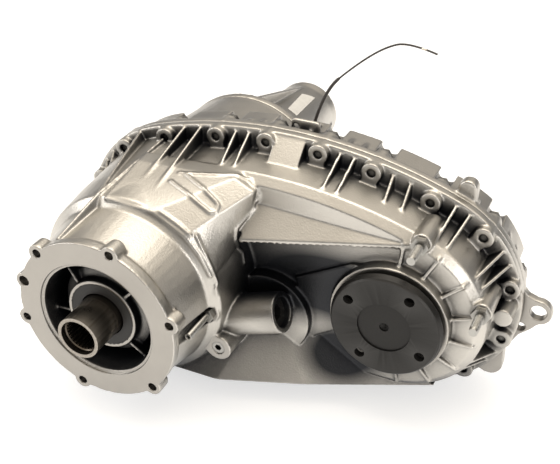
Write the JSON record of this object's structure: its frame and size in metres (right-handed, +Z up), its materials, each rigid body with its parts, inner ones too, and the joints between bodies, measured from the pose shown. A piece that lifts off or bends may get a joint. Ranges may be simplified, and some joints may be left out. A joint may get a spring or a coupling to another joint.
{
  "type": "transfer case",
  "caption": "Split aluminium gearbox with an offset front output: planetary range gear, chain drive, clutch pack, shift fork, shafts on bearings and a cone-shaped tail housing.",
  "frame": {"origin": "centre of the front adapter face, on the axis of the input shaft", "axes": "+Y to the rear along the shafts, +X towards the front output, +Z up"},
  "size_m": [0.4935, 0.525, 0.3429],
  "materials": {
    "bright_steel": "ground",
    "bronze": "machined",
    "cast_aluminium": "satin as cast",
    "coil_shell": "satin",
    "dark_steel": "black oxide",
    "friction_lining": "fibrous",
    "gear_steel": "machined",
    "lead_jacket": "satin",
    "machined_aluminium": "machined",
    "plated_steel": "zinc plated",
    "seal_rubber": "moulded",
    "sleeve_steel": "oiled dark"
  },
  "bodies": {
    "case": {"front_case": "cast_aluminium", "rear_case": "cast_aluminium", "tail_housing": "cast_aluminium", "case_bolts": "plated_steel", "tail_bolts": "plated_steel", "case_dowels": "bright_steel", "shield_studs": "plated_steel", "vent_tube": "plated_steel", "gauge_plug": "plated_steel", "fill_plug": "plated_steel", "sump_magnet": "dark_steel", "input_bearing": "bright_steel", "output_front_bearing": "bright_steel", "output_rear_bearing": "bright_steel", "rear_bearing": "bright_steel", "input_seal": "seal_rubber", "output_seal": "seal_rubber", "tail_seal": "seal_rubber", "tail_bushing": "bronze", "ring_gear": "gear_steel", "shift_rail": "bright_steel", "drive_chain": "dark_steel", "clutch_coil": "coil_shell", "oil_pump": "machined_aluminium", "lead_grommet": "seal_rubber", "coil_lead": "lead_jacket"},
    "input": {"input_shaft": "sleeve_steel", "input_snap_ring": "bright_steel"},
    "carrier": {"planet_carrier": "gear_steel", "planet_pins": "bright_steel"},
    "planet_a": {"planet_1": "gear_steel"},
    "planet_b": {"planet_2": "gear_steel"},
    "planet_c": {"planet_3": "gear_steel"},
    "planet_d": {"planet_4": "gear_steel"},
    "sleeve": {"range_sleeve": "gear_steel"},
    "fork": {"range_fork": "gear_steel"},
    "shift": {"shift_shaft": "bright_steel"},
    "main": {"main_shaft": "bright_steel", "clutch_drum": "gear_steel", "steel_plates": "bright_steel", "pressure_plate": "gear_steel", "ramp_front_cam": "gear_steel", "ramp_rear_cam": "gear_steel", "ramp_balls": "bright_steel", "armature": "gear_steel", "pump_rotor": "gear_steel", "tone_wheel": "gear_steel"},
    "chain_drive": {"drive_sprocket": "gear_steel", "clutch_hub": "gear_steel", "friction_plates": "friction_lining"},
    "front_output": {"front_output_shaft": "dark_steel", "driven_sprocket": "gear_steel"}
  },
  "joints": [
    {"name": "rear_output_spin", "type": "hinge", "parent": "case", "child": "main", "pos_m": [0, 0.3, 0], "axis": [0, 1, 0], "continuous": true},
    {"name": "input_spin", "type": "hinge", "parent": "case", "child": "input", "pos_m": [0, 0.03, 0], "axis": [0, 1, 0], "continuous": true},
    {"name": "carrier_spin", "type": "hinge", "parent": "case", "child": "carrier", "pos_m": [0, 0.08, 0], "axis": [0, 1, 0], "continuous": true},
    {"name": "planet_a_spin", "type": "hinge", "parent": "carrier", "child": "planet_a", "pos_m": [0.054, 0.079, 0], "axis": [0, 1, 0], "continuous": true},
    {"name": "planet_b_spin", "type": "hinge", "parent": "carrier", "child": "planet_b", "pos_m": [0, 0.079, 0.054], "axis": [0, 1, 0], "continuous": true},
    {"name": "planet_c_spin", "type": "hinge", "parent": "carrier", "child": "planet_c", "pos_m": [-0.054, 0.079, 0], "axis": [0, 1, 0], "continuous": true},
    {"name": "planet_d_spin", "type": "hinge", "parent": "carrier", "child": "planet_d", "pos_m": [0, 0.079, -0.054], "axis": [0, 1, 0], "continuous": true},
    {"name": "front_output_spin", "type": "hinge", "parent": "case", "child": "front_output", "pos_m": [0.2413, 0.15, 0], "axis": [0, 1, 0], "continuous": true},
    {"name": "drive_sprocket_spin", "type": "hinge", "parent": "case", "child": "chain_drive", "pos_m": [0, 0.174, 0], "axis": [0, 1, 0], "continuous": true},
    {"name": "shift_shaft_turn", "type": "hinge", "parent": "case", "child": "shift", "pos_m": [0.08, 0.15, 0.084], "axis": [0, 1, 0], "range_deg": [0, 140.1]},
    {"name": "range_fork_slide", "type": "slide", "parent": "case", "child": "fork", "axis": [0, 1, 0], "range_m": [0, 0.0221]},
    {"name": "range_sleeve_slide", "type": "slide", "parent": "main", "child": "sleeve", "axis": [0, 1, 0], "range_m": [0, 0.022]}
  ],
  "couplings": [
    {"joint": "input_spin", "follows": "rear_output_spin", "ratio": 1},
    {"joint": "carrier_spin", "follows": "rear_output_spin", "ratio": 0.375},
    {"joint": "planet_a_spin", "follows": "rear_output_spin", "ratio": -1.875},
    {"joint": "planet_b_spin", "follows": "rear_output_spin", "ratio": -1.875},
    {"joint": "planet_c_spin", "follows": "rear_output_spin", "ratio": -1.875},
    {"joint": "planet_d_spin", "follows": "rear_output_spin", "ratio": -1.875},
    {"joint": "drive_sprocket_spin", "follows": "front_output_spin", "ratio": 1},
    {"joint": "range_fork_slide", "follows": "range_sleeve_slide", "ratio": 1},
    {"joint": "shift_shaft_turn", "follows": "range_sleeve_slide", "rad_per_m": 111.07}
  ]
}
